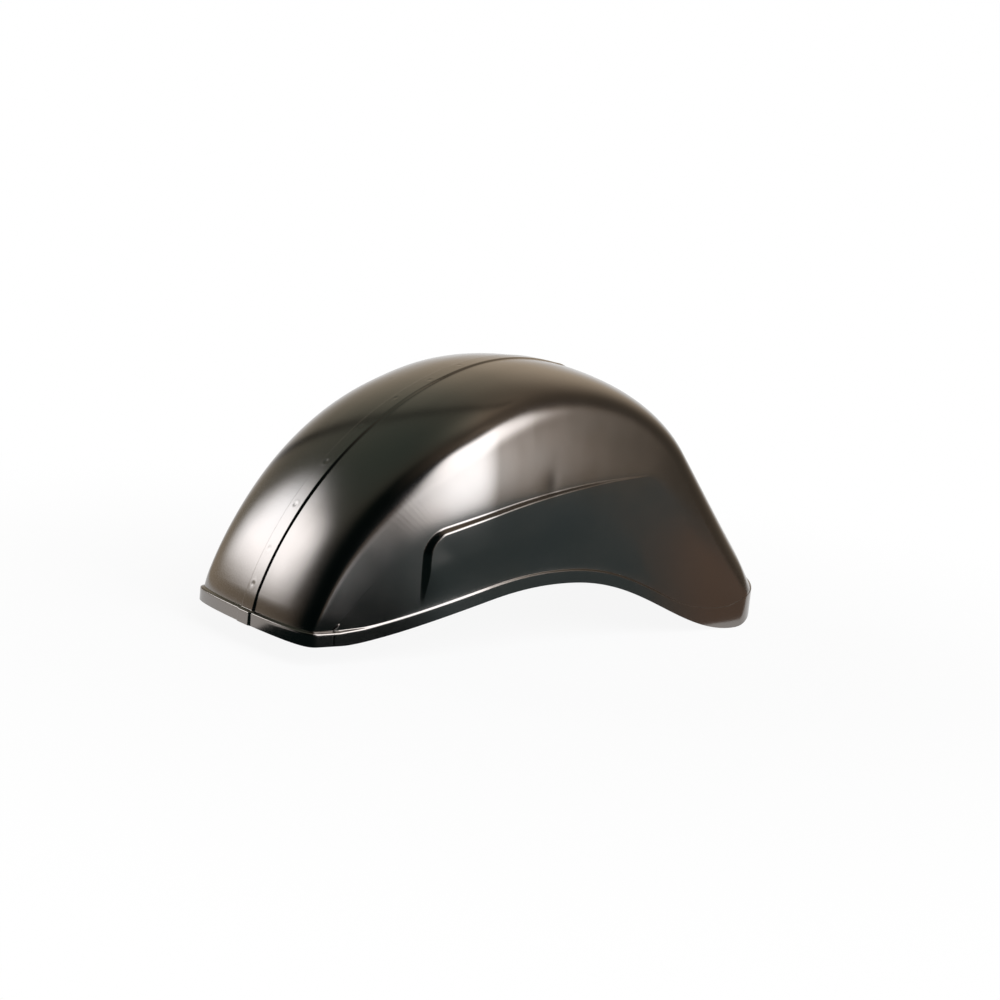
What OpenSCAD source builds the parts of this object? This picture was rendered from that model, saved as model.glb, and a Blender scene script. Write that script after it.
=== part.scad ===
// Front fender of a small scooter, pressed in two steel halves.
// The near half is set up by one sheet thickness along the crown and laps over the far half.
// The nose points to -X, the tail to +X, and the near half lies on the -Y side.
// The fender stands with the lowest points of its rim on Z = 0.

/* [Sheet] */
// thickness of the pressed sheet
sheet = 1.2; // [0.8:0.1:2]
// clearance left between parts that lie on each other
seat_gap = 0.05; // [0.02:0.01:0.2]

/* [Crown line] */
// angle by which the nose leans back from upright, at the rim line
nose_lean = 17.1; // [8:0.5:26]
// radius of the crown over the nose
nose_radius = 321; // [300:1:340]
// angle swept by the nose radius
nose_sweep = 55.5; // [50:0.5:60]
// radius of the crown over the top
top_radius = 221; // [205:1:240]
// angle swept by the top radius
top_sweep = 44.2; // [40:0.5:48]
// radius of the crown behind the top, where it turns down to the straight tail
back_radius = 194; // [180:1:210]
// angle swept by the back radius
back_sweep = 20.7; // [17:0.5:24]

/* [Width] */
// half of the width over the side walls
half_width = 117.3; // [110:0.5:126]
// half of the width at the nose
nose_half_width = 89.5; // [84:0.5:100]
// length over which the nose widens to the full width
nose_widening = 180; // [150:5:210]
// half of the width that the tail draws in to
tail_half_width = 99.2; // [90:0.5:112]
// length over which the tail draws in
tail_narrowing = 56; // [45:1:75]
// outward lean of the side walls, in mm for each mm of depth
wall_lean = 0.021; // [0:0.001:0.05]
// bow of the side walls above the swage
wall_bow = 8; // [4:0.5:10]

/* [Shoulder] */
// depth of the rounded shoulder at the nose
nose_shoulder = 15.4; // [12:0.5:24]
// depth of the rounded shoulder over the top
top_shoulder = 36.9; // [31:0.5:44]
// depth of the rounded shoulder at the tail
tail_shoulder = 49.5; // [43:0.5:56]
// squareness of the shoulder towards the crown
crown_square = 2.06; // [2:0.02:2.6]
// squareness of the shoulder towards the wall, at the nose
nose_square = 3.65; // [2.8:0.05:4]
// squareness of the shoulder towards the wall, over the top
top_square = 2.46; // [2.1:0.05:3]
// squareness of the shoulder towards the wall, at the tail
tail_square = 2.28; // [2:0.05:2.6]

/* [Lower edge] */
// height of the lower edge at the nose
nose_edge_z = 19; // [14:0.5:24]
// distance from the nose at which the lower edge starts to rise
nose_edge_x = 40; // [30:1:50]
// height of the lower edge at the top of the side arch
arch_edge_z = 63; // [55:0.5:75]
// distance from the nose to the top of the side arch
arch_edge_x = 260; // [250:1:280]
// how early the lower edge rises from the nose to the arch, 1 for an even rise
arch_rise = 0.8; // [0.7:0.01:1]
// how late the lower edge falls from the arch to the tail, 1 for an even fall
arch_fall = 1.15; // [0.9:0.01:1.3]
// distance from the nose to the lowest point of the tail
tail_low_x = 501.5; // [485:1:510]
// height of the lower edge at the back of the tail
tail_edge_z = 19; // [12:0.5:26]

/* [Rim] */
// height of the stepped rim along the nose and the sides
rim_height = 13; // [9:0.5:17]
// height of the rim at the back of the tail
tail_rim_height = 27; // [20:0.5:32]
// outward step of the rim at the nose
rim_step = 2.6; // [1.5:0.1:4]
// outward step of the rim along the sides
side_rim_step = 1.6; // [1:0.1:3]
// outward step of the rim along the sides of the tail
rear_rim_step = 0.9; // [0.6:0.1:2]
// outward step of the lip at the back of the tail
back_rim_step = 5; // [3:0.1:6]
// outward flare of the sheet above the rim at the nose
nose_flare = 1; // [0:0.1:2]
// height of the flare above the rim at the nose
flare_height = 11; // [8:0.5:14]

/* [Side swage] */
// depth to which the side panel is pressed out along the swage
swage_depth = 5; // [3:0.1:6]
// width of the sloping wall of the swage
swage_wall = 6.8; // [5.5:0.1:8]
// distance from the nose to the upright leg of the swage
swage_leg_x = 111; // [106:0.5:116]
// height of the swage above its corner
swage_corner_z = 114; // [108:0.5:120]
// radius of the swage corner
swage_corner_radius = 16; // [10:1:22]
// slope of the top line of the swage at its corner
swage_slope = 0.3155; // [0.25:0.005:0.38]
// length of the top line of the swage
swage_length = 250; // [215:5:265]

/* [Lap seam] */
// distance from the middle to the cut edge of the lapping strip
lap_edge = 8.3; // [7:0.1:12]
// distance from the middle to the bend that sets the strip up
lap_bend = 10; // [9:0.1:13]
// width of the bend that sets the strip up
lap_slope = 2; // [1.5:0.1:4]

/* [Fork seat] */
// angle of the steering column from upright
column_angle = 26; // [22:0.5:28]
// bore for the steering column
column_bore = 36; // [30:0.5:40]
// radius of the flat seat pressed in the crown
seat_radius = 40; // [38:0.5:43]
// width over which the flat seat runs out
seat_runout = 14; // [11:1:18]
// depth of the flat seat below the crown line
seat_depth = 3.9; // [3.5:0.1:4.5]
// diameter of the circle on which the fork bolts lie
bolt_circle = 54; // [50:0.5:56]
// clearance hole for a fork bolt
bolt_hole = 6.6; // [5.5:0.1:7.5]
// number of fork bolts
bolt_count = 4; // [4:2:4]
// radius of the doubling plate
plate_radius = 33.5; // [32.5:0.5:35]
// thickness of the doubling plate
plate_thickness = 3; // [2:0.25:4]
// clearance between the doubling plate and the sheet over it
plate_gap = 0.25; // [0.2:0.05:0.4]

/* [Hidden] */
$fn = 96;

// crown line in the side view, four tangent pieces
start = [rim_height * tan(nose_lean), nose_edge_z + rim_height];
psi_a = 90 - nose_lean;
psi_b = psi_a - nose_sweep;
psi_c = psi_b - top_sweep;
psi_d = psi_c - back_sweep;
centre_a = start + nose_radius * [sin(psi_a), -cos(psi_a)];
end_a = centre_a + nose_radius * [-sin(psi_b), cos(psi_b)];
centre_b = end_a + top_radius * [sin(psi_b), -cos(psi_b)];
end_b = centre_b + top_radius * [-sin(psi_c), cos(psi_c)];
centre_c = end_b + back_radius * [sin(psi_c), -cos(psi_c)];
end_c = centre_c + back_radius * [-sin(psi_d), cos(psi_d)];
run_a = nose_radius * nose_sweep * PI / 180;
run_b = run_a + top_radius * top_sweep * PI / 180;
run_c = run_b + back_radius * back_sweep * PI / 180;
tail_top_z = tail_edge_z + tail_rim_height;
run_d = run_c + (end_c[1] - tail_top_z) / sin(-psi_d);
length = end_c[0] + (run_d - run_c) * cos(psi_d);
middle_x = (start[0] + length) / 2;

// direction of the crown line at a run along it
function turn(s) =
    s < run_a ? psi_a - s / nose_radius * 180 / PI :
    s < run_b ? psi_b - (s - run_a) / top_radius * 180 / PI :
    s < run_c ? psi_c - (s - run_b) / back_radius * 180 / PI :
    psi_d;

// point of the crown line at a run along it
function crown(s) =
    s < run_a ? centre_a + nose_radius * [-sin(turn(s)), cos(turn(s))] :
    s < run_b ? centre_b + top_radius * [-sin(turn(s)), cos(turn(s))] :
    s < run_c ? centre_c + back_radius * [-sin(turn(s)), cos(turn(s))] :
    end_c + (s - run_c) * [cos(psi_d), sin(psi_d)];

function clamp(v, low, high) = min(max(v, low), high);
function ease(v) = let (c = clamp(v, 0, 1)) c * c * (3 - 2 * c);
function wave(v) = (1 - cos(180 * clamp(v, 0, 1))) / 2;
function mix(a, b, k) = a + (b - a) * k;

// height of the lower edge at a distance from the nose
function edge_z(x) =
    x < arch_edge_x ?
        mix(nose_edge_z, arch_edge_z, wave(pow(clamp((x - nose_edge_x) / (arch_edge_x - nose_edge_x), 0, 1), arch_rise))) :
    x < tail_low_x ?
        mix(arch_edge_z, 0, wave(pow(clamp((x - arch_edge_x) / (tail_low_x - arch_edge_x), 0, 1), arch_fall))) :
        mix(0, tail_edge_z, wave((x - tail_low_x) / (length - tail_low_x)));

// height of the rim line, where the rim steps out from the wall
function rim_z(x) = edge_z(x) + mix(rim_height, tail_rim_height, ease((x - 400) / (length - 430)));

// outward step of the rim at a distance from the nose
function rim_set(x) =
    rim_step + (side_rim_step - rim_step) * ease((x - nose_edge_x) / 80)
    + (rear_rim_step - side_rim_step) * ease((x - 330) / 110)
    + (back_rim_step - rear_rim_step) * ease((x - length + 48) / 40);

// outward flare of the sheet above the rim at the nose
function flare_set(p) =
    nose_flare * pow(clamp(1 - (p[2] - rim_z(p[0])) / flare_height, 0, 1), 2.2) * (1 - ease((p[0] - 30) / 90));

// half width of the walls at a distance from the nose
function wall_y(x) =
    half_width
    - (half_width - nose_half_width) * (1 - ease(x / nose_widening))
    - (half_width - tail_half_width) * pow(clamp((x - length + tail_narrowing) / tail_narrowing, 0, 1), 1.7);

// top line of the swage in the side view
function swage_z(x) =
    let (u = min(x - swage_leg_x - swage_corner_radius, swage_length))
    swage_corner_z + swage_corner_z * 0.035 + swage_slope * u - 0.0006 * u * u;

// how far a point lies inside the corner of the swage
function swage_inside(x, z) =
    let (across = x - swage_leg_x)
    let (below = (swage_z(x) - z) * 0.96)
    let (r = swage_corner_radius)
    across < r && below < r ? r - norm([r - across, r - below]) : min(across, below);

// outward set of the panel at a point of the side view
function swage_set(x, z) =
    let (inside = swage_inside(x, z))
    let (along = clamp((x - swage_leg_x - swage_corner_radius) / (swage_length * 0.7), 0, 1))
    let (rear = (1 - 0.72 * along) * (1 - ease((x - swage_leg_x - swage_length * 0.62) / (swage_length * 0.4))))
    let (foot = ease((z - rim_z(x) - 11) / 46))
    swage_depth * ease(inside / swage_wall + 0.5) * rear * foot * (1 - 0.85 * ease(inside / 80));

// reach of the cutters of the bores to either side of the crown
bore_reach = 0.75 * seat_radius;

// axis of the steering column where it meets the crown
seat_run = run_a + top_radius * (psi_b + column_angle) * PI / 180;
seat_share = seat_run / run_d;
seat_at = [crown(seat_run)[0], 0, crown(seat_run)[1]];
seat_axis = [sin(column_angle), 0, cos(column_angle)];

// stations along the fender, as shares of the whole crown line
leg_at = 0.179;
stations = concat(
    [0, 0.012, 0.03, 0.055, 0.085, 0.115, 0.142],
    [leg_at - 0.019, leg_at - 0.0077, leg_at + 0.0048, leg_at + 0.013, leg_at + 0.022, leg_at + 0.034],
    [for (k = [0 : 1 : 10]) mix(0.236, seat_share - (seat_radius + seat_runout) / run_d, k / 11)],
    [for (r = [seat_radius + seat_runout, seat_radius, seat_radius / 2, 0]) seat_share - r / run_d],
    [for (r = [seat_radius / 2, seat_radius, seat_radius + seat_runout]) seat_share + r / run_d],
    [for (k = [1 : 1 : 12]) mix(seat_share + (seat_radius + seat_runout) / run_d, 1, k / 12)]
);
columns = len(stations) - 1;

// point of the rim line for a station
function rim_x(t) =
    t < leg_at ? mix(60, swage_leg_x, t / leg_at) : mix(swage_leg_x, length - 75, (t - leg_at) / (1 - leg_at));
function rim_at(t) = [rim_x(t), rim_z(rim_x(t))];

// middle point of a station, on the top line of the swage where there is one
fade_at = leg_at + (1 - leg_at) * (swage_length + 5) / (length - 75 - swage_leg_x);
function middle_at(t) =
    t < leg_at ?
        let (k = t / leg_at)
        [mix(38, swage_leg_x, k), mix(rim_z(38), swage_corner_z - 2, k)] :
    t < fade_at ?
        [rim_x(t), max(swage_z(rim_x(t)), swage_corner_z - 2)] :
        let (k = (t - fade_at) / (1 - fade_at))
        let (e = rim_at(t))
        let (reach = swage_z(rim_x(fade_at)) - rim_z(rim_x(fade_at)))
        let (close = 0.07 * (crown(run_d) - rim_at(1)))
        e + mix([0, reach], close, ease(k) * 0.35 + k * 0.65);

function shoulder(t) =
    nose_shoulder + (top_shoulder - nose_shoulder) * ease(t * 2.5)
    + (tail_shoulder - top_shoulder) * ease((t - 0.55) / 0.45);
function square(t) =
    nose_square + (top_square - nose_square) * ease(t * 2.5)
    + (tail_square - top_square) * ease((t - 0.55) / 0.45);

// rows across a half: negative and small values are distances from the middle in mm
arc_rows = [39, 48, 57, 65, 72, 78, 84, 90];
wall_rows = [0.3, 0.62];
swage_rows = [-7, -3.3, -1.1, 1.1, 3.3, 11];
panel_rows = [0.3, 0.62, 1];
function rows(lap) = [
    lap ? -lap_edge : 2 - lap_bend, 0, lap_bend, lap_bend + lap_slope,
    seat_radius * 0.65, seat_radius, seat_radius + seat_runout
];
crown_count = len(rows(true));
row_count = crown_count + len(arc_rows) + len(wall_rows) + len(swage_rows) + len(panel_rows);

// angle of the shoulder curve at which the half width has a value
function curve_angle(y, w) = asin(pow(clamp(abs(y) / w, 0, 1), crown_square / 2));

// point of the skin before the flat seat is pressed, for a station and a row
function skin(t, j, lap) =
    let (s = t * run_d)
    let (c = crown(s))
    let (n = [sin(turn(s)), -cos(turn(s))])
    let (m = middle_at(t))
    let (e = rim_at(t))
    let (h = shoulder(t))
    let (depth_m = n * (m - c))
    let (crown_rows = rows(lap))
    let (is_crown = j < crown_count)
    let (is_arc = j < crown_count + len(arc_rows))
    let (a = is_crown ? curve_angle(crown_rows[j], wall_y(c[0])) : is_arc ? arc_rows[j - crown_count] : 90)
    let (d = h * (1 - pow(cos(a), 2 / square(t))))
    let (w = j - crown_count - len(arc_rows))
    let (len_up = norm(m - c))
    let (len_low = norm(e - m))
    let (v_up = w < len(wall_rows) ?
        mix(h / depth_m, 1 - 7 * min(1, len_up / 60) / len_up, wall_rows[max(w, 0)]) : 1)
    let (g = w - len(wall_rows))
    let (set = g >= 0 && g < len(swage_rows) ? swage_rows[g] * min(1, len_low / 25) : 0)
    let (q = g - len(swage_rows))
    let (last = 11 * min(1, len_low / 25) / len_low)
    let (p =
        is_arc ? mix(c, m, d / depth_m) :
        w < len(wall_rows) ? mix(c, m, v_up) :
        q < 0 ? (set < 0 ? m + (c - m) / len_up * -set : m + (e - m) / len_low * set) :
        mix(m, e, mix(last, 1, panel_rows[q])))
    let (depth = n * (p - c))
    let (bow = wall_bow * pow(depth_m / 100, 2) * wave(1 - depth / depth_m))
    let (y0 = (wall_y(p[0]) + wall_lean * min(depth - h, 90) - bow) * pow(sin(a), 2 / crown_square))
    let (y = is_crown ? crown_rows[j] : is_arc ? y0 : y0 + swage_set(p[0], p[1]))
    [p[0], -y, p[1]];

// presses the flat seat into a point of the skin
function seated(p) =
    let (r = p - seat_at)
    let (up = r * seat_axis)
    let (out = norm(r - up * seat_axis))
    let (k = abs(up) > seat_radius ? 0 : 1 - ease((out - seat_radius) / seat_runout))
    p - k * (up + seat_depth) * seat_axis;

// the grid of one skin
function grid(lap) = [for (t = stations) [for (j = [0 : 1 : row_count - 1]) seated(skin(t, j, lap))]];

function unit(v) = v / max(norm(v), 0.000001);

// outward direction at a point of a grid
function outward(g, i, j) =
    let (a = g[min(i + 1, columns)][j] - g[max(i - 1, 0)][j])
    let (b = g[i][min(j + 1, row_count - 1)] - g[i][max(j - 1, 0)])
    unit(cross(b, a));

// how far the skin is set out from its grid: the lapping strip and the flare over the rim
function raise(p, j, lap) = (lap && j < 3 ? sheet + seat_gap : 0) + flare_set(p);

// path along the rim line: down the nose, along the side and up the tail
path = concat(
    [for (j = [0 : 1 : row_count - 1]) [0, j]],
    [for (i = [1 : 1 : columns]) [i, row_count - 1]],
    [for (j = [row_count - 2 : -1 : 0]) [columns, j]]
);

// profile of the rim: outward set and drop of each line
rim_profile = [[0.2, 0.9], [0.75, 2.1], [1, 3.6], [1, 100]];

// level outward direction of the rim at a point of the path
function level_out(g, m) =
    let (a = path[max(m - 1, 0)])
    let (b = path[min(m + 1, len(path) - 1)])
    let (d = g[b[0]][b[1]] - g[a[0]][a[1]])
    unit([d[1], -d[0], 0]);

function rim_ring(g, lap, k, inner) =
    [for (m = [0 : 1 : len(path) - 1])
        let (q = path[m])
        let (b = g[q[0]][q[1]])
        let (flat = level_out(g, m))
        let (set = rim_profile[k][0] * rim_set(b[0]) + raise(b, q[1], lap) - (inner ? sheet : 0))
        let (low = edge_z(b[0]))
        let (drop = rim_profile[k][1] + (inner ? sheet / 2 : 0))
        let (z = k == len(rim_profile) - 1 ? low : b[2] - drop)
        [b[0] + flat[0] * set, b[1] + flat[1] * set, z]];

function flatten(l) = [for (a = l) for (b = a) b];

// two triangles for a four-sided patch
function patch(a, b, c, d) = [[a, b, c], [a, c, d]];

// one pressed half as a closed sheet, near side towards -Y
module half_sheet(lap) {
    g = grid(lap);
    rings = len(rim_profile);
    count = len(path);
    base = (columns + 1) * row_count;
    side = base + rings * count;
    outer = concat(
        [for (i = [0 : 1 : columns]) for (j = [0 : 1 : row_count - 1])
            g[i][j] + raise(g[i][j], j, lap) * outward(g, i, j)],
        flatten([for (k = [0 : 1 : rings - 1]) rim_ring(g, lap, k, false)])
    );
    inner = concat(
        [for (i = [0 : 1 : columns]) for (j = [0 : 1 : row_count - 1])
            g[i][j] + (raise(g[i][j], j, lap) - sheet) * outward(g, i, j)],
        flatten([for (k = [0 : 1 : rings - 1]) rim_ring(g, lap, k, true)])
    );
    function at(i, j) = i * row_count + j;
    function ring(k, m) = k < 0 ? at(path[m][0], path[m][1]) : base + k * count + m;
    skin_faces = concat(
        flatten([for (i = [0 : 1 : columns - 1]) for (j = [0 : 1 : row_count - 2])
            patch(at(i, j), at(i + 1, j), at(i + 1, j + 1), at(i, j + 1))]),
        flatten([for (k = [-1 : 1 : rings - 2]) for (m = [0 : 1 : count - 2])
            patch(ring(k, m), ring(k, m + 1), ring(k + 1, m + 1), ring(k + 1, m))])
    );
    loop = concat(
        [for (i = [0 : 1 : columns]) at(i, 0)],
        [for (k = [0 : 1 : rings - 1]) ring(k, count - 1)],
        [for (m = [count - 2 : -1 : 0]) ring(rings - 1, m)],
        [for (k = [rings - 2 : -1 : 0]) ring(k, 0)]
    );
    edge_faces = flatten([for (m = [0 : 1 : len(loop) - 1])
        let (a = loop[m])
        let (b = loop[(m + 1) % len(loop)])
        patch(a, a + side, b + side, b)]);
    polyhedron(
        points = concat(outer, inner),
        faces = concat(skin_faces, [for (f = skin_faces) [f[2] + side, f[1] + side, f[0] + side]], edge_faces),
        convexity = 10
    );
}

// places something on the axis of the steering column, Z along the axis
module on_column() {
    translate(seat_at)
        rotate([0, column_angle, 0])
            children();
}

// bores of the steering column and of the fork bolts
module fork_bores() {
    translate([0, 0, -bore_reach])
        cylinder(d = column_bore, h = 2 * bore_reach);
    for (k = [0 : 1 : bolt_count - 1])
        rotate([0, 0, 45 + k * 360 / bolt_count])
            translate([bolt_circle / 2, 0, -bore_reach])
                cylinder(d = bolt_hole, h = 2 * bore_reach, $fn = 48);
}

module left_half() {
    color([0.12, 0.11, 0.10])
        translate([-middle_x, 0, 0])
            difference() {
                half_sheet(true);
                on_column()
                    fork_bores();
            }
}

module right_half() {
    color([0.13, 0.12, 0.11])
        translate([-middle_x, 0, 0])
            difference() {
                mirror([0, 1, 0])
                    half_sheet(false);
                on_column()
                    fork_bores();
            }
}

module fork_plate() {
    color([0.16, 0.15, 0.14])
        translate([-middle_x, 0, 0])
            on_column()
                difference() {
                    translate([0, 0, -seat_depth - sheet - plate_gap - plate_thickness])
                        cylinder(r = plate_radius, h = plate_thickness);
                    fork_bores();
                }
}

left_half();
right_half();
fork_plate();
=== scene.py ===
"""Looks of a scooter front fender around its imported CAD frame: two pressed halves, lapped and spot-welded."""

from math import cos, pi, radians, sin, tan

import bpy
import numpy as np
from mathutils import Matrix, Vector


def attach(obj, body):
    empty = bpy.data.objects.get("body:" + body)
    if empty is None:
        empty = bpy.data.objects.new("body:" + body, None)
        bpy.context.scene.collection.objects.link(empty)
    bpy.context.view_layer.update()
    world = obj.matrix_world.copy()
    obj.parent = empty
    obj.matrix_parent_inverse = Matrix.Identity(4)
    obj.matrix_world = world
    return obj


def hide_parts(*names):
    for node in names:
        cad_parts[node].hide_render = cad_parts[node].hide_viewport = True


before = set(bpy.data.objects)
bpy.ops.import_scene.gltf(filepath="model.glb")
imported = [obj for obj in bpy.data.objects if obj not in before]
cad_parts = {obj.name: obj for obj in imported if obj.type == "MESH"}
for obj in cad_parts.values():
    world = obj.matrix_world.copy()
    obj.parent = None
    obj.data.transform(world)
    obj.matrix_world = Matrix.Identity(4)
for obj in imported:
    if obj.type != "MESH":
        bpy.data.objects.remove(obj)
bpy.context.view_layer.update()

# ---- sizes in millimetres and angles in degrees, with x from the nose to the tail ----
# They are those of the part's source. Only the rim's steps and section, the nose's tuck, the swage's wall and
# foot, the slope of the lap, the welds and the dent are drawn finer here.
SHEET, GAP = 1.2, 0.05

# The crown line: the lean of the nose, then the radius and sweep of three arcs before the straight tail.
NOSE_LEAN = 17.1
RADII = (321.0, 221.0, 194.0)
SWEEPS = (55.5, 44.2, 20.7)

# The side walls: half widths at the middle, the nose and the tail, and how far the narrowing runs.
HALF_W, NOSE_W, NOSE_RUN = 117.3, 89.5, 180.0
TAIL_W, TAIL_RUN, TAIL_POWER = 99.2, 56.0, 1.7
WALL_LEAN, WALL_LEAN_REACH, WALL_CROWN = 0.021, 90, 8.0

# The section: shoulder depths and squareness at the nose, the middle and the tail.
SHOULDER = (15.4, 36.9, 49.5)
CROWN_SQ, SQUARE = 2.06, (3.65, 2.46, 2.28)

# The lower edge: heights and places of the nose, the arch and the tail.
NOSE_EDGE_Z, NOSE_EDGE_X, ARCH_Z, ARCH_X = 19.0, 40.0, 63.0, 260.0
ARCH_RISE, ARCH_FALL = 0.8, 1.15
TAIL_LOW_X, TAIL_EDGE_Z = 501.5, 19.0

# The stepped rim: its heights, where its side starts and ends, its outward steps and its section.
RIM_H, TAIL_RIM_H, TALLER_FROM_X = 13.0, 27.0, 400
RIM_NOSE_X, RIM_TAIL_GAP = 60, 75
RIM_STEPS = (3.7, 0.8, 0.2, 5.0)
RIM_PROFILE = [(0.04, 0.2), (0.14, 0.4), (0.32, 0.65), (0.54, 0.9), (0.74, 1.15), (0.88, 1.45), (0.96, 1.8),
               (1.0, 2.4), (1.0, 4.5), (1.0, 8.0), (1.0, None)]
NOSE_TUCK, TUCK_H, TUCK_END_X, TUCK_RUN = 0.8, 15.0, 56, 36

# The swage: how deep and wide its wall is, its front leg, its rounded corner and its rising top line.
SWAGE_DEPTH, SWAGE_WALL, LEG_X, CORNER_Z, CORNER_R = 5.0, 4.8, 111.0, 114.0, 16.0
SWAGE_SLOPE, SWAGE_BEND, SWAGE_LEN = 0.3155, 0.0006, 250.0
FOOT_GAP, FOOT_RUN = 6, 32
MIDDLE_NOSE_X, SMOOTHING = 38, 0.045
ROWS_ABOVE, ROWS_BELOW = 7, 11

# The lap over the far half: its cut edge, where it starts to come down and over what width.
LAP_EDGE, LAP_BEND, LAP_SLOPE, LAP_SLOPE_NOSE = 8.3, 8.8, 4.6, 1.2
CUT_ROUND, NOSE_SPREAD = 0.85, 2.6

# The fork seat with its bore and bolt holes.
COLUMN_ANGLE, COLUMN_BORE, SEAT_R, SEAT_RUN, SEAT_DEPTH = 26.0, 36.0, 40.0, 14.0, 3.9
BOLT_CIRCLE, BOLT_HOLE, CUT_REACH = 54.0, 6.6, 20

# Spot welds: (distance along the crown, distance towards the far side).
WELDS = [(21.5, 1.5), (56, 1), (100, 0), (148, 1.5), (194, 0), (238.5, 1.5), (276, -3), (314, 0.5), (358, 0)]
WELD_DEPTH, WELD_R, WELD_RING_R, WELD_RING_W = 0.16, 1.7, 3.6, 1.1

# The small dent in the near wall: its (x, z) and depth. Its (x, z) also places the painted shade of the dent in the
# steel's colour.
DENT_AT, DENT_DEPTH = (239, 155), 0.16

# Specks on the skin: (place in metres, radius in metres, colour).
SPECKS = [((-0.1075, 0.0506, 0.2262), 0.0011, (0.02, 0.02, 0.02)),
          ((0.0496, -0.1192, 0.0661), 0.0006, (0.7, 0.66, 0.6)),
          ((0.0854, -0.1151, 0.1848), 0.0006, (0.6, 0.56, 0.5))]

SHARP_FROM = 32
WHITE = (1.0, 1.0, 1.0)


def ease(v):
    """0 below 0, 1 above 1, smooth between."""
    c = np.clip(v, 0, 1)
    return c * c * (3 - 2 * c)


def wave(v):
    """As ease, along half a cosine."""
    return (1 - np.cos(pi * np.clip(v, 0, 1))) / 2


def mix(a, b, k):
    return a + (b - a) * k


def heading(angle):
    """From a point of the crown towards the centre of its arc, where the crown rises at that angle."""
    return np.array([np.sin(radians(angle)), -np.cos(radians(angle))])


class Crown:
    """The crown line in the side view: three arcs and a straight tail, all tangent."""

    def __init__(self):
        self.turns = [90 - NOSE_LEAN]
        self.runs = [0.0]
        self.start = np.array([RIM_H * tan(radians(NOSE_LEAN)), NOSE_EDGE_Z + RIM_H])
        self.centres = []
        at = self.start
        for r, sweep in zip(RADII, SWEEPS):
            centre = at + r * heading(self.turns[-1])
            self.turns.append(self.turns[-1] - sweep)
            self.runs.append(self.runs[-1] + r * radians(sweep))
            at = centre - r * heading(self.turns[-1])
            self.centres.append(centre)
        self.end = at
        low = TAIL_EDGE_Z + TAIL_RIM_H
        slope = radians(self.turns[-1])
        self.total = self.runs[-1] + (at[1] - low) / np.sin(-slope)
        self.length = at[0] + (self.total - self.runs[-1]) * np.cos(slope)
        self.middle = (self.start[0] + self.length) / 2

    def turn(self, s):
        out = np.full(np.shape(s), float(self.turns[3]))
        for k in (2, 1, 0):
            out = np.where(s < self.runs[k + 1], self.turns[k] - np.degrees((s - self.runs[k]) / RADII[k]), out)
        return out

    def point(self, s):
        t = np.radians(self.turn(s))
        slope = radians(self.turns[3])
        x = self.end[0] + (s - self.runs[3]) * np.cos(slope)
        z = self.end[1] + (s - self.runs[3]) * np.sin(slope)
        for k in (2, 1, 0):
            inside = s < self.runs[k + 1]
            x = np.where(inside, self.centres[k][0] - RADII[k] * np.sin(t), x)
            z = np.where(inside, self.centres[k][1] + RADII[k] * np.cos(t), z)
        return np.stack([x, z], -1)


CROWN = Crown()
LENGTH, TOTAL, MIDDLE = CROWN.length, CROWN.total, CROWN.middle
SEAT_S = CROWN.runs[1] + RADII[1] * radians(CROWN.turns[1] + COLUMN_ANGLE)
SEAT_AT = np.array([CROWN.point(SEAT_S)[0], 0, CROWN.point(SEAT_S)[1]])
SEAT_AXIS = np.array([np.sin(radians(COLUMN_ANGLE)), 0, np.cos(radians(COLUMN_ANGLE))])
RIM_TAIL_X = LENGTH - RIM_TAIL_GAP

# Shares of the crown at which the swage's leg stands and at which the swage has run out.
LEG_T = 0.179
FADE_T = LEG_T + (1 - LEG_T) * (SWAGE_LEN + 5) / (RIM_TAIL_X - LEG_X)


def edge_z(x):
    """Height of the lower edge."""
    nose_share = np.clip((x - NOSE_EDGE_X) / (ARCH_X - NOSE_EDGE_X), 0, 1)
    side_share = np.clip((x - ARCH_X) / (TAIL_LOW_X - ARCH_X), 0, 1)
    nose = mix(NOSE_EDGE_Z, ARCH_Z, wave(nose_share**ARCH_RISE))
    side = mix(ARCH_Z, 0, wave(side_share**ARCH_FALL))
    tail = mix(0, TAIL_EDGE_Z, wave((x - TAIL_LOW_X) / (LENGTH - TAIL_LOW_X)))
    return np.where(x < ARCH_X, nose, np.where(x < TAIL_LOW_X, side, tail))


def rim_z(x):
    """Height of the top of the rim, where the skin ends."""
    taller = ease((x - TALLER_FROM_X) / (LENGTH - TALLER_FROM_X - 30))
    return edge_z(x) + mix(RIM_H, TAIL_RIM_H, taller)


def wall_y(x):
    """Half width of the wall at its top."""
    nose = (HALF_W - NOSE_W) * (1 - ease(x / NOSE_RUN))
    tail = (HALF_W - TAIL_W) * np.clip((x - LENGTH + TAIL_RUN) / TAIL_RUN, 0, 1) ** TAIL_POWER
    return HALF_W - nose - tail


def swage_z(x):
    """Height of the swage's top line."""
    u = np.minimum(x - LEG_X - CORNER_R, SWAGE_LEN)
    return CORNER_Z * 1.035 + SWAGE_SLOPE * u - SWAGE_BEND * u * u


def swage_inside(x, z):
    """How far a point lies within the swage's outline, which has a rounded front corner."""
    across, below = x - LEG_X, (swage_z(x) - z) * 0.96
    corner = CORNER_R - np.hypot(CORNER_R - across, CORNER_R - below)
    return np.where((across < CORNER_R) & (below < CORNER_R), corner, np.minimum(across, below))


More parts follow.
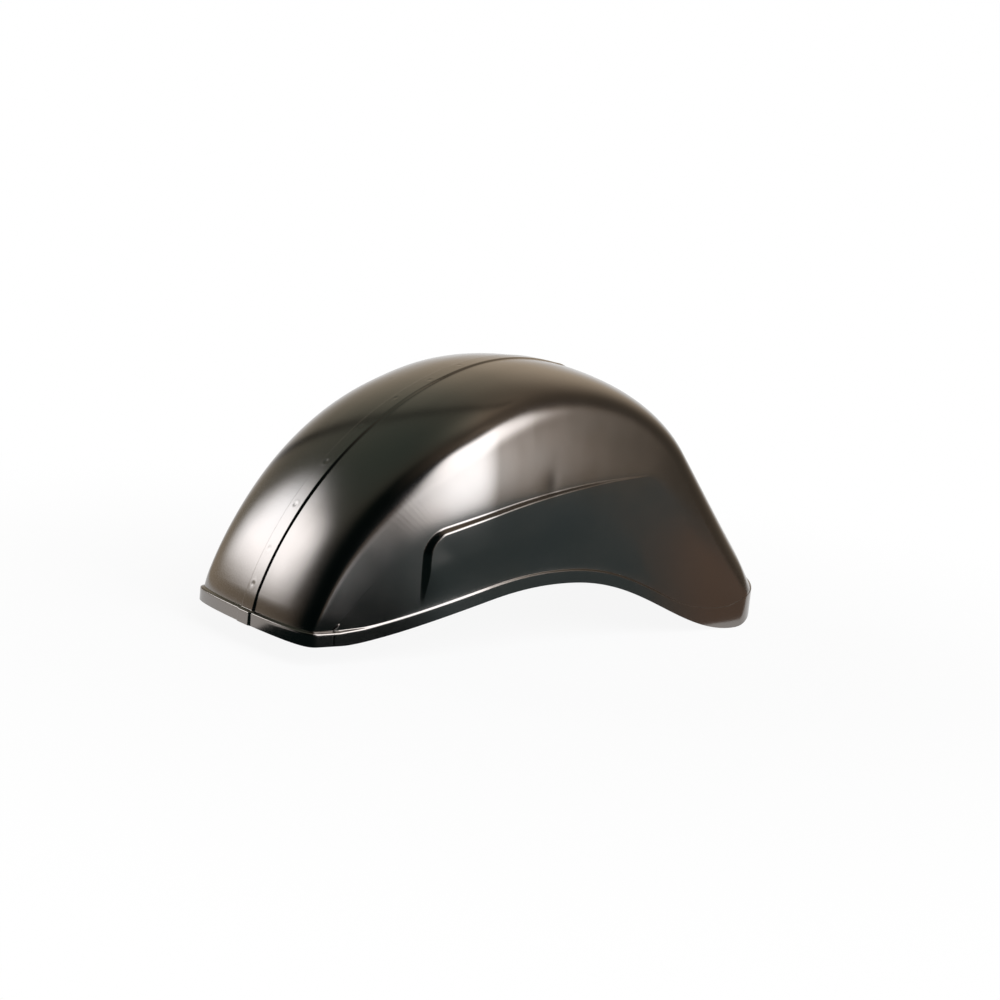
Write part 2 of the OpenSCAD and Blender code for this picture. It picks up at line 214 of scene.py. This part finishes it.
def swage_set(x, z):
    """How far the swage pushes the wall out. It runs out to the rear, to the foot of its leg and into the panel."""
    inside = swage_inside(x, z)
    lower = 1 - 0.72 * np.clip((x - LEG_X - CORNER_R) / (SWAGE_LEN * 0.7), 0, 1)
    rear = lower * (1 - ease((x - LEG_X - SWAGE_LEN * 0.62) / (SWAGE_LEN * 0.4)))
    foot = ease((z - rim_z(x) - FOOT_GAP) / FOOT_RUN)
    wall = ease(inside / (SWAGE_WALL * (0.3 + 0.7 * rear)) + 0.5)
    return SWAGE_DEPTH * wall * rear * foot * (1 - 0.85 * ease(inside / 80))


def rim_x(t):
    """Where along the rim the section ends that starts at the share t of the crown."""
    rear = mix(LEG_X, RIM_TAIL_X, (t - LEG_T) / (1 - LEG_T))
    return np.where(t < LEG_T, mix(RIM_NOSE_X, LEG_X, t / LEG_T), rear)


def rim_at(t):
    x = rim_x(t)
    return np.stack([x, rim_z(x)], -1)


def middle_at(t):
    """The line in the side view where the wall gives way to the lower panel, rounded along the fender."""
    reach = np.minimum(SMOOTHING, np.minimum(t, 1 - t))
    turns = np.linspace(-1, 1, 13)
    weights = np.cos(turns * pi / 2.2) ** 2
    return sum(w * middle_line(t + k * reach) for k, w in zip(turns, weights)) / weights.sum()


def middle_line(t):
    """The same line before it is rounded: up the nose, along the swage's top, then down towards the tail's rim."""
    x = rim_x(t)
    k = t / LEG_T
    corner_z = CORNER_Z - 2
    nose_z = rim_z(np.array(float(MIDDLE_NOSE_X)))
    nose = np.stack([mix(MIDDLE_NOSE_X, LEG_X, k), mix(nose_z, corner_z, k)], -1)
    top = np.stack([x, np.maximum(swage_z(x), corner_z)], -1)
    q = np.clip((t - FADE_T) / (1 - FADE_T), 0, 1)[:, None]
    fx = rim_x(np.array([FADE_T]))
    reach = np.array([0, (swage_z(fx) - rim_z(fx))[0]])
    close = 0.07 * (CROWN.point(np.array([TOTAL]))[0] - rim_at(np.array([1.0]))[0])
    tail = rim_at(t) + mix(reach, close, ease(q) * 0.35 + q * 0.65)
    return np.where((t < LEG_T)[:, None], nose, np.where((t < FADE_T)[:, None], top, tail))


def along(stops, t):
    """A value given at the nose, the middle and the tail, at the share t of the crown."""
    nose, middle, tail = stops
    return nose + (middle - nose) * ease(t * 2.5) + (tail - middle) * ease((t - 0.55) / 0.45)


def curve_angle(y, w):
    """Degrees around the section, 0 on the crown and 90 at the wall, at a distance y from the middle."""
    return np.degrees(np.arcsin(np.clip(np.abs(y) / w, 0, 1) ** (CROWN_SQ / 2)))


def skin_row(t, kind, value):
    """One row's points at all stations t, before the flat seat is pressed: x, y, z with y towards the wall."""
    s = t * TOTAL
    c = CROWN.point(s)
    turn = np.radians(CROWN.turn(s))
    n = np.stack([np.sin(turn), -np.cos(turn)], -1)
    m, e = middle_at(t), rim_at(t)
    h, sq = along(SHOULDER, t), along(SQUARE, t)
    depth_m = ((m - c) * n).sum(-1)
    len_up = np.linalg.norm(m - c, axis=-1)
    len_low = np.linalg.norm(e - m, axis=-1)
    small = np.minimum(1, len_low / 25)
    w = wall_y(c[:, 0])
    a = np.full(len(t), 90.0)
    if kind == "crown":
        a = curve_angle(value, w)
    elif kind == "arc":
        a = mix(curve_angle(SEAT_R + SEAT_RUN, w), 90.0, value)
    if kind in ("crown", "arc"):
        d = h * (1 - np.clip(np.cos(np.radians(a)), 0, 1) ** (2 / sq))
        p = mix(c, m, (d / depth_m)[:, None])
    elif kind == "wall":
        v = mix(h / depth_m, 1 - ROWS_ABOVE * np.minimum(1, len_up / 60) / len_up, value)
        p = mix(c, m, v[:, None])
    elif kind == "swage":
        reach = (value * small)[:, None]
        p = m + ((c - m) / len_up[:, None] * -reach if value < 0 else (e - m) / len_low[:, None] * reach)
    else:
        last = ROWS_BELOW * small / len_low
        p = mix(m, e, mix(last, 1, value)[:, None])
    depth = ((p - c) * n).sum(-1)
    crowning = WALL_CROWN * (depth_m / 100) ** 2 * wave(1 - depth / depth_m)
    wall = wall_y(p[:, 0]) + WALL_LEAN * np.minimum(depth - h, WALL_LEAN_REACH) - crowning
    y = wall * np.sin(np.radians(a)) ** (2 / CROWN_SQ)
    if kind == "crown":
        # near the middle the rows keep their given distance, further out they follow the section
        fitted = y / np.maximum(np.abs(value), 1e-6) if value else 1
        y = value * mix(1, fitted, ease((abs(value) - 14) / 40))
    elif kind != "arc":
        y = y + swage_set(p[:, 0], p[:, 1])
    return np.stack([p[:, 0], y, p[:, 1]], -1)


def seated(p):
    """Points with the flat seat of the fork pressed into them."""
    r = p - SEAT_AT
    up = r @ SEAT_AXIS
    out = np.linalg.norm(r - up[..., None] * SEAT_AXIS, axis=-1)
    k = np.where(np.abs(up) > 40, 0, 1 - ease((out - SEAT_R) / SEAT_RUN))
    return p - (k * (up + SEAT_DEPTH))[..., None] * SEAT_AXIS


def spread(stops):
    """Values between stops of (value, number of steps up to it)."""
    out = [stops[0][0]]
    for (a, _), (b, n) in zip(stops, stops[1:]):
        out += [a + (b - a) * k / n for k in range(1, n + 1)]
    return out


def row_list(lap):
    """The rows of a half from the lap to the rim, as (part of the section, place in it)."""
    if lap:
        crown = spread([(-LAP_EDGE, 0), (1.2 - LAP_EDGE, 4), (LAP_BEND, 15), (LAP_BEND + 2, 9),
                        (LAP_BEND + LAP_SLOPE, 5), (SEAT_R + SEAT_RUN, 12)])
    else:
        crown = spread([(-8, 0), (8, 7), (SEAT_R + SEAT_RUN, 17)])
    swage = spread([(-ROWS_ABOVE, 0), (-3, 4), (3, 12), (ROWS_BELOW, 8)])
    return (
        [("crown", v) for v in crown]
        + [("arc", k / 24) for k in range(1, 25)]
        + [("wall", k / 20) for k in range(1, 20)]
        + [("swage", v) for v in swage]
        + [("panel", k / 12) for k in range(1, 13)]
    )


def station_list():
    """Shares of the crown, closer together at the rim, at the leg of the swage and at each spot weld."""
    fine, coarse = 1.0, 3.1
    leg = LEG_T * TOTAL

    def step(at):
        near = at < 16 or leg - 16 < at < leg + 26 or any(abs(at - s) < 5 for s, _ in WELDS)
        return fine if near else coarse

    mm = [0.0]
    while mm[-1] < TOTAL - 2:
        mm.append(mm[-1] + step(mm[-1]))
    return np.array(mm) / mm[-1]


def skin_grid(lap):
    """The outer face of the near half as a grid of stations by rows, with the rows."""
    t = station_list()
    rows = row_list(lap)
    g = np.stack([skin_row(t, kind, value) for kind, value in rows], 1)
    return seated(g * np.array([1, -1, 1])), rows


def normals(g):
    """Outward normals of a grid of points."""
    a = np.empty_like(g)
    a[1:-1] = g[2:] - g[:-2]
    a[0], a[-1] = g[1] - g[0], g[-1] - g[-2]
    b = np.empty_like(g)
    b[:, 1:-1] = g[:, 2:] - g[:, :-2]
    b[:, 0], b[:, -1] = g[:, 1] - g[:, 0], g[:, -1] - g[:, -2]
    n = np.cross(b, a)
    return n / np.maximum(np.linalg.norm(n, axis=-1, keepdims=True), 1e-9)


def rim_set(x):
    """Outward step of the rim: nose, side, the side of the tail, and the back of the tail."""
    nose, side, rear, back = RIM_STEPS
    step = nose + (side - nose) * ease((x - 14) / 62) + (rear - side) * ease((x - 330) / 110)
    return step + (back - rear) * ease((x - LENGTH + 48) / 40)


def raise_of(y, lap):
    """Height of the lapping strip over the far half at a distance y from the middle, with its cut edge rounded."""
    if not lap:
        return np.zeros_like(y)
    run = station_list() * TOTAL
    slope = mix(LAP_SLOPE_NOSE, LAP_SLOPE, ease(run / 240)) + NOSE_SPREAD * (1 - ease(run / 20))
    down = ease((y - LAP_BEND) / slope[:, None])
    return (SHEET + GAP) * (1 - down) - CUT_ROUND * np.clip(1 - y - LAP_EDGE, 0, 1) ** 2


def lift_of(g, rows, lap):
    """How far the sheet stands off the plain skin: the lap, the tucked nose, the spot welds and the dent."""
    lift = raise_of(-g[..., 1], lap)
    for k, (kind, _) in enumerate(rows):
        if kind != "crown":
            lift[:, k] = 0
    near_rim = np.clip(1 - (g[..., 2] - rim_z(g[..., 0])) / TUCK_H, 0, 1)
    lift = lift - NOSE_TUCK * near_rim**2 * ease((TUCK_END_X - g[..., 0]) / TUCK_RUN)
    if lap:
        for s, y in WELDS:
            x, z = CROWN.point(np.array(float(s)))
            r = np.linalg.norm(g - np.array([x, y, z]), axis=-1)
            lift = lift - WELD_DEPTH * np.exp(-((r / WELD_R) ** 2))
            lift = lift + WELD_DEPTH / 3 * np.exp(-(((r - WELD_RING_R) / WELD_RING_W) ** 2))
        across, up = g[..., 0] - DENT_AT[0], g[..., 2] - DENT_AT[1]
        dent = np.exp(-((across / 9) ** 2) - (((up - 0.3 * across) / 13) ** 2))
        lift = lift - DENT_DEPTH * dent * (g[..., 1] < -90)
    return lift


def rim_rings(base, lifted):
    """The outer and the inner rings of the rim below the edge of the skin, from the ledge down to the lower edge."""
    ahead = np.gradient(base[:, :2], axis=0)
    for _ in range(3):
        ahead[1:-1] = (ahead[:-2] + 2 * ahead[1:-1] + ahead[2:]) / 4
    out = np.stack([ahead[:, 1], -ahead[:, 0], 0 * ahead[:, 0]], -1)
    out /= np.linalg.norm(out, axis=-1, keepdims=True)
    step = rim_set(base[:, 0])
    low = edge_z(base[:, 0])
    outer, inner = [], []
    for share, drop in RIM_PROFILE:
        for rings, inset, extra in ((outer, 0, 0), (inner, SHEET, SHEET / 2)):
            p = base + out * (share * step + lifted - inset)[:, None]
            p[:, 2] = low if drop is None else base[:, 2] - drop - extra
            rings.append(p)
    return outer, inner


def half_solid(lap):
    """Points in mm and four-sided faces of one pressed half, a closed sheet with its rim."""
    g, rows = skin_grid(lap)
    count_i, count_j = g.shape[:2]
    n = normals(g)
    lift = lift_of(g, rows, lap)
    top = g + n * lift[..., None]
    under = g + n * (lift - SHEET)[..., None]
    # the rim follows the first station, the last row and the last station
    path = [(0, j) for j in range(count_j)] + [(i, count_j - 1) for i in range(1, count_i)]
    path += [(count_i - 1, j) for j in range(count_j - 2, -1, -1)]
    edge_i, edge_j = np.array(path).T
    outer, inner = rim_rings(g[edge_i, edge_j], lift[edge_i, edge_j])
    rings, count = len(outer), len(path)
    side = count_i * count_j + rings * count
    points = np.concatenate([top.reshape(-1, 3)] + outer + [under.reshape(-1, 3)] + inner)

    def ring(k, m):
        """Index of point m of ring k, where ring -1 is the edge of the skin itself."""
        return edge_i[m] * count_j + edge_j[m] if k < 0 else count_i * count_j + k * count + m

    faces = [(i * count_j + j, (i + 1) * count_j + j, (i + 1) * count_j + j + 1, i * count_j + j + 1)
             for i in range(count_i - 1) for j in range(count_j - 1)]
    faces += [(ring(k, m), ring(k, m + 1), ring(k + 1, m + 1), ring(k + 1, m))
              for k in range(-1, rings - 1) for m in range(count - 1)]
    # the cut edge that joins the outer face to the inner one, once around
    loop = [i * count_j for i in range(count_i)] + [ring(k, count - 1) for k in range(rings)]
    loop += [ring(rings - 1, m) for m in range(count - 2, -1, -1)] + [ring(k, 0) for k in range(rings - 2, -1, -1)]
    skin = np.array(faces)
    edge = np.array([(a, a + side, b + side, b) for a, b in zip(loop, loop[1:] + loop[:1])])
    return points, np.concatenate([skin, skin[:, ::-1] + side, edge])


def to_frame(points):
    """Points in mm from the nose as metres in the shared frame."""
    return (points - np.array([MIDDLE, 0, 0])) / 1000


def mesh_object(name, points, faces, material):
    """A smooth-shaded object with one material, linked into the scene."""
    me = bpy.data.meshes.new(name)
    me.from_pydata(points.tolist(), [], faces.tolist() if hasattr(faces, "tolist") else faces)
    me.validate()
    me.materials.append(material)
    me.shade_smooth()
    me.set_sharp_from_angle(angle=radians(SHARP_FROM))
    o = bpy.data.objects.new(name, me)
    bpy.context.scene.collection.objects.link(o)
    return o


def bore_cutter():
    """The steering column bore and the four bolt holes, as one cutting mesh along the column."""
    points, faces = [], []
    circles = [(0.0, 0.0, COLUMN_BORE / 2, 96)]
    for k in range(4):
        a = radians(45 + 90 * k)
        circles.append((BOLT_CIRCLE / 2 * cos(a), BOLT_CIRCLE / 2 * sin(a), BOLT_HOLE / 2, 48))
    across = np.array([SEAT_AXIS[2], 0, -SEAT_AXIS[0]])
    for u, v, r, n in circles:
        start = len(points)
        for h in (-CUT_REACH, CUT_REACH):
            for k in range(n):
                a = 2 * pi * k / n
                at = SEAT_AT + across * (u + r * cos(a)) + np.array([0, 1, 0]) * (v + r * sin(a))
                points.append(at + SEAT_AXIS * h)
        faces += [[start + k, start + (k + 1) % n, start + n + (k + 1) % n, start + n + k] for k in range(n)]
        faces += [[start + k for k in range(n - 1, -1, -1)], [start + n + k for k in range(n)]]
    return to_frame(np.array(points)), faces


def cut(o, cutter):
    """Take the cutter's mesh out of an object for good."""
    m = o.modifiers.new("bores", "BOOLEAN")
    m.object, m.operation, m.solver = cutter, "DIFFERENCE", "EXACT"
    dg = bpy.context.evaluated_depsgraph_get()
    new = bpy.data.meshes.new_from_object(o.evaluated_get(dg))
    o.modifiers.clear()
    o.data = new
    new.shade_smooth()
    new.set_sharp_from_angle(angle=radians(SHARP_FROM))


class Wire:
    """A socket whose arithmetic adds Math nodes to its tree."""

    def __init__(self, paint, socket):
        self.paint, self.socket = paint, socket

    def _math(self, operation, *values):
        return self.paint.node("ShaderNodeMath", {"operation": operation}, values)

    def __add__(self, other):
        return self._math("ADD", self, other)

    __radd__ = __add__

    def __sub__(self, other):
        return self._math("SUBTRACT", self, other)

    def __rsub__(self, other):
        return self._math("SUBTRACT", other, self)

    def __mul__(self, other):
        return self._math("MULTIPLY", self, other)

    __rmul__ = __mul__

    def __truediv__(self, other):
        return self._math("DIVIDE", self, other)

    def most(self, other):
        return self._math("MAXIMUM", self, other)

    def wrap(self, low, high):
        """The same angle between low and high."""
        return self._math("WRAP", self, high, low)

    def exp(self):
        return self._math("EXPONENT", self)

    def angle(self, other):
        """Degrees of the direction whose sine part is this and whose cosine part is the other."""
        return self._math("ARCTAN2", self, other) * (180 / pi)

    def arcsine(self):
        return self._math("ARCSINE", self) * (180 / pi)

    def ramp(self, low, high):
        """0 below low, 1 above high, smooth between."""
        smooth = {"interpolation_type": "SMOOTHSTEP"}
        return self.paint.node("ShaderNodeMapRange", smooth, (self, low, high, 0.0, 1.0))

    def between(self, low, high, soft):
        """1 between low and high, with soft edges of that width about them."""
        return self.ramp(low - soft, low + soft) * (1 - self.ramp(high - soft, high + soft))


class Paint:
    """A node tree of a material or of the world."""

    def __init__(self, tree):
        self.tree = tree
        tree.nodes.clear()

    def node(self, kind, settings=None, inputs=(), out=0):
        """A new node with its settings and inputs, as the wire of one of its outputs where it has any."""
        n = self.tree.nodes.new(kind)
        for key, value in (settings or {}).items():
            setattr(n, key, value)
        items = inputs.items() if isinstance(inputs, dict) else enumerate(inputs)
        for key, value in items:
            if isinstance(value, Wire):
                self.tree.links.new(value.socket, n.inputs[key])
            else:
                n.inputs[key].default_value = value
        return Wire(self, n.outputs[out]) if len(n.outputs) else None

    def blend(self, amount, a, b):
        """Colour a where amount is 0, colour b where it is 1."""
        n = self.tree.nodes.new("ShaderNodeMix")
        n.data_type = "RGBA"
        factor_in, a_in, b_in, colour_out = 0, 6, 7, 2
        for key, value in ((factor_in, amount), (a_in, a), (b_in, b)):
            if isinstance(value, Wire):
                self.tree.links.new(value.socket, n.inputs[key])
            else:
                n.inputs[key].default_value = (*value, 1) if hasattr(value, "__len__") else value
        return Wire(self, n.outputs[colour_out])

    def place(self, kind="Object"):
        """The point being shaded, in the object's own space or as another kind of coordinate."""
        return self.node("ShaderNodeTexCoord", out=kind)

    def axes(self, vector, names="XYZ"):
        """The named parts of a vector."""
        return [self.node("ShaderNodeSeparateXYZ", {}, (vector,), out=name) for name in names]


def new_paint(name):
    """A new material and the paint of its tree."""
    m = bpy.data.materials.new(name)
    m.use_nodes = True
    return m, Paint(m.node_tree)


def pressed_steel(name, colour, warm, rough, specks=()):
    """Drawn steel sheet under oil, with a fine grain and slow changes of tone, and, where it has specks, a dark
    patch of painted shade at the dent.
    """
    m, p = new_paint(name)
    at = p.place()
    slow = p.node("ShaderNodeTexNoise", {}, {"Vector": at, "Scale": 9.0, "Detail": 3.0})
    smear = p.node("ShaderNodeTexNoise", {}, {"Vector": at, "Scale": 38.0, "Detail": 4.0, "Roughness": 0.6})
    grain = p.node("ShaderNodeTexNoise", {}, {"Vector": at, "Scale": 900.0, "Detail": 2.0})
    draw = p.node("ShaderNodeTexNoise", {}, {"Vector": at, "Scale": 14.0, "Detail": 2.0})
    tone = p.blend(slow.ramp(0.35, 0.65), colour, warm)
    for place, size, speck in specks:
        away = p.node("ShaderNodeVectorMath", {"operation": "DISTANCE"}, (at, place), out="Value")
        tone = p.blend(1 - away.ramp(size * 0.6, size), tone, speck)
    if specks:
        # painted shade: a dark patch in the base colour around the dent on the near wall, standing in for the dent's
        # dark reflection
        x, y, z = p.axes(at)
        across, up = (x - (DENT_AT[0] - MIDDLE) / 1000) / 0.0055, (z - DENT_AT[1] / 1000) / 0.011
        painted_dent_shade = ((across * across + up * up) * -1).exp() * (1 - y.ramp(-0.09, -0.08))
        tone = p.blend(painted_dent_shade * 0.6, tone, (0.06, 0.058, 0.056))
    height = grain * 0.000012 + draw * 0.00025
    bump = p.node("ShaderNodeBump", {}, {"Strength": 1.0, "Distance": 1.0, "Height": height})
    shader = p.node("ShaderNodeBsdfPrincipled", {}, {
        "Base Color": tone, "Metallic": 1.0, "Roughness": rough + (smear - 0.5) * 0.06, "Normal": bump})
    p.node("ShaderNodeOutputMaterial", {}, {"Surface": shader})
    return m


# ---- what the metal mirrors, in degrees of azimuth (0 is the near side, -90 the nose) and of height ----
ROOM_LEVEL = 0.12
# (azimuth, height, half width, half height, level) of each soft glow
ROOM_GLOWS = [(34, 20, 11, 60, 0.4), (135, 26, 34, 28, 0.55), (158, 74, 34, 10, 0.3),
              (-165, 3, 26, 14, 0.4), (20, 84, 90, 13, 0.14)]
ROOM_WARM, ROOM_GREEN, ROOM_DARK = (1.22, 1.0, 0.76), (0.85, 1.08, 0.9), (0.002, 0.007, 0.007)
BIG_WINDOW, SMALL_WINDOW = (5.6, 5.75, 6.0), (5.0, 5.15, 5.4)


def light_room():
    """White behind the fender. Elsewhere the metal sees a dim warm room, a dark side and two soft windows."""
    world = bpy.data.worlds.new("studio")
    bpy.context.scene.world = world
    world.use_nodes = True
    p = Paint(world.node_tree)
    x, y, z = p.axes(p.place("Generated"))
    azimuth = x.angle(y * -1)
    height = z.arcsine()

    def about(centre):
        """Degrees of azimuth from a centre."""
        return (azimuth - centre).wrap(-180, 180)

    def glow(side, up, width, tall):
        """1 at a direction, falling off around it."""
        a, h = about(side) / width, (height - up) / tall
        return ((a * a + h * h) * -1).exp()

    slant = (azimuth + 25 - (55 - height) * 0.58).ramp(-9, 9)
    big = about(0).between(-60, 32.5, 9) * slant * height.between(-5, 67, 7)
    small = about(-151).between(-11.5, 11.5, 6) * height.between(12, 30, 6)
    dark_side = about(-82).between(-47, 60, 11) * height.between(-60, 70, 12)
    backdrop = about(148).between(-34, 27, 13) * height.between(-90, 12, 12)
    level = ROOM_LEVEL
    for side, up, width, tall, share in ROOM_GLOWS:
        level = level + glow(side, up, width, tall) * share
    # a thin dark curved edge, which the far crown mirrors
    across, up = about(130) / 47, (height - 32) / 37
    edge = (across * across + up * up).between(0.95, 1.12, 0.06) * about(165).between(-35, 40, 8)
    level = level * (1 - edge * 0.95)
    room = p.blend(glow(-160, 50, 40, 30), ROOM_WARM, ROOM_GREEN)
    room = p.node("ShaderNodeVectorMath", {"operation": "SCALE"}, {0: room, "Scale": level})
    room = p.blend(dark_side, room, ROOM_DARK)
    room = p.blend(big, room, BIG_WINDOW)
    room = p.blend(small, room, SMALL_WINDOW)
    seen, mirrored = background_rays(p)
    room = p.blend(mirrored * backdrop, room, WHITE)
    colour = p.blend(seen, room, WHITE)
    back = p.node("ShaderNodeBackground", {}, {"Color": colour, "Strength": 1.0})
    p.node("ShaderNodeOutputWorld", {}, {"Surface": back})


def background_rays(p):
    """Rays that come straight from the camera, and those that metal or glass send on."""
    names = ("Is Camera Ray", "Is Glossy Ray", "Is Transmission Ray")
    seen, glossy, through = (p.node("ShaderNodeLightPath", out=name) for name in names)
    return seen, glossy.most(through)


def floor():
    """A white floor that keeps a faint shadow near the fender and runs into the white background."""
    m, p = new_paint("floor_white")
    seen, mirrored = background_rays(p)
    away = p.node("ShaderNodeVectorMath", {"operation": "LENGTH"}, (p.place(),), out="Value")
    plain = p.node("ShaderNodeBsdfDiffuse", {}, {"Color": (0.8, 0.8, 0.8, 1)})
    white = p.node("ShaderNodeEmission", {}, {"Color": (*WHITE, 1), "Strength": 1.0})
    near_share = 0.91
    share = seen.most(mirrored) * (near_share + away.ramp(0.25, 0.9) * (1 - near_share))
    both = p.node("ShaderNodeMixShader", {}, {0: share, 1: plain, 2: white})
    p.node("ShaderNodeOutputMaterial", {}, {"Surface": both})
    ring = [(1.3 * cos(2 * pi * k / 96), 1.3 * sin(2 * pi * k / 96), 0.0) for k in range(96)]
    mesh_object("floor", np.array(ring), [tuple(range(96))], m)


def dark_cloth():
    """A dark cloth on the floor before the fender, browner to the tail, there only as what the metal mirrors."""
    m, p = new_paint("dark_cloth")
    x, y = p.axes(p.place(), "XY")
    tail = (x + y).ramp(-0.06, 0.09) * (1 - (y * -1).ramp(0.45, 0.8))
    tone = p.blend(tail, (0.13, 0.175, 0.185), (0.33, 0.235, 0.18))
    tone = p.blend((x * -1).ramp(0.08, 0.18), tone, (0.01, 0.02, 0.02))
    shade = p.node("ShaderNodeBsdfDiffuse", {}, {"Color": tone})
    p.node("ShaderNodeOutputMaterial", {}, {"Surface": shade})
    radius, above_floor = 1.31, 0.0005
    corners = [(radius * cos(a), radius * sin(a)) for a in np.radians(np.linspace(165, 354, 64))]
    corners += [(-0.22, -0.135), (-0.29, -0.06), (-0.31, 0.03)]
    points = np.array([(a, b, above_floor) for a, b in corners])
    o = mesh_object("dark_cloth", points, [tuple(range(len(corners)))], m)
    o.visible_camera = o.visible_diffuse = o.visible_shadow = o.visible_transmission = False


def camera():
    """The photograph's camera: its place, roll, lens and shift."""
    turn, rise, roll = radians(40.621), radians(9.43), radians(5.414)
    distance, target = 1.808514, Vector(((282.971 - MIDDLE) / 1000, 0, 0.139))
    back = Vector((-sin(turn) * cos(rise), -cos(turn) * cos(rise), sin(rise)))
    right = Vector((cos(turn), -sin(turn), 0))
    up = back.cross(right)
    right, up = cos(roll) * right + sin(roll) * up, -sin(roll) * right + cos(roll) * up
    data = bpy.data.cameras.new("camera")
    data.sensor_width = 36
    data.lens = 36 * 1.8899
    data.shift_x, data.shift_y = -0.002992, -0.023828
    data.clip_start, data.clip_end = 0.01, 100
    o = bpy.data.objects.new("camera", data)
    bpy.context.scene.collection.objects.link(o)
    spin = Matrix((right, up, back)).transposed().to_4x4()
    o.matrix_world = Matrix.Translation(target + back * distance) @ spin
    bpy.context.scene.camera = o


light_room()
floor()
dark_cloth()
camera()

steel = pressed_steel("pressed_steel_oiled", (0.2, 0.187, 0.176), (0.215, 0.194, 0.178), 0.165, SPECKS)
plate_paint = pressed_steel("plate_steel_plain", (0.27, 0.26, 0.25), (0.3, 0.28, 0.26), 0.3)
cutter_points, cutter_faces = bore_cutter()
cutter = mesh_object("bore_cutter", cutter_points, cutter_faces, steel)
for node, lap in (("left_half", True), ("right_half", False)):
    points, faces = half_solid(lap)
    if not lap:
        points = points * np.array([1, -1, 1])
        faces = faces[:, ::-1]
    half = mesh_object(node + "_skin", to_frame(points), faces, steel)
    cut(half, cutter)
    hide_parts(node)
    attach(half, "root")
cutter_mesh = cutter.data
bpy.data.objects.remove(cutter)
bpy.data.meshes.remove(cutter_mesh)

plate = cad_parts["fork_plate"]
plate.data.materials.clear()
plate.data.materials.append(plate_paint)

scene = bpy.context.scene
scene.view_settings.view_transform = "Standard"
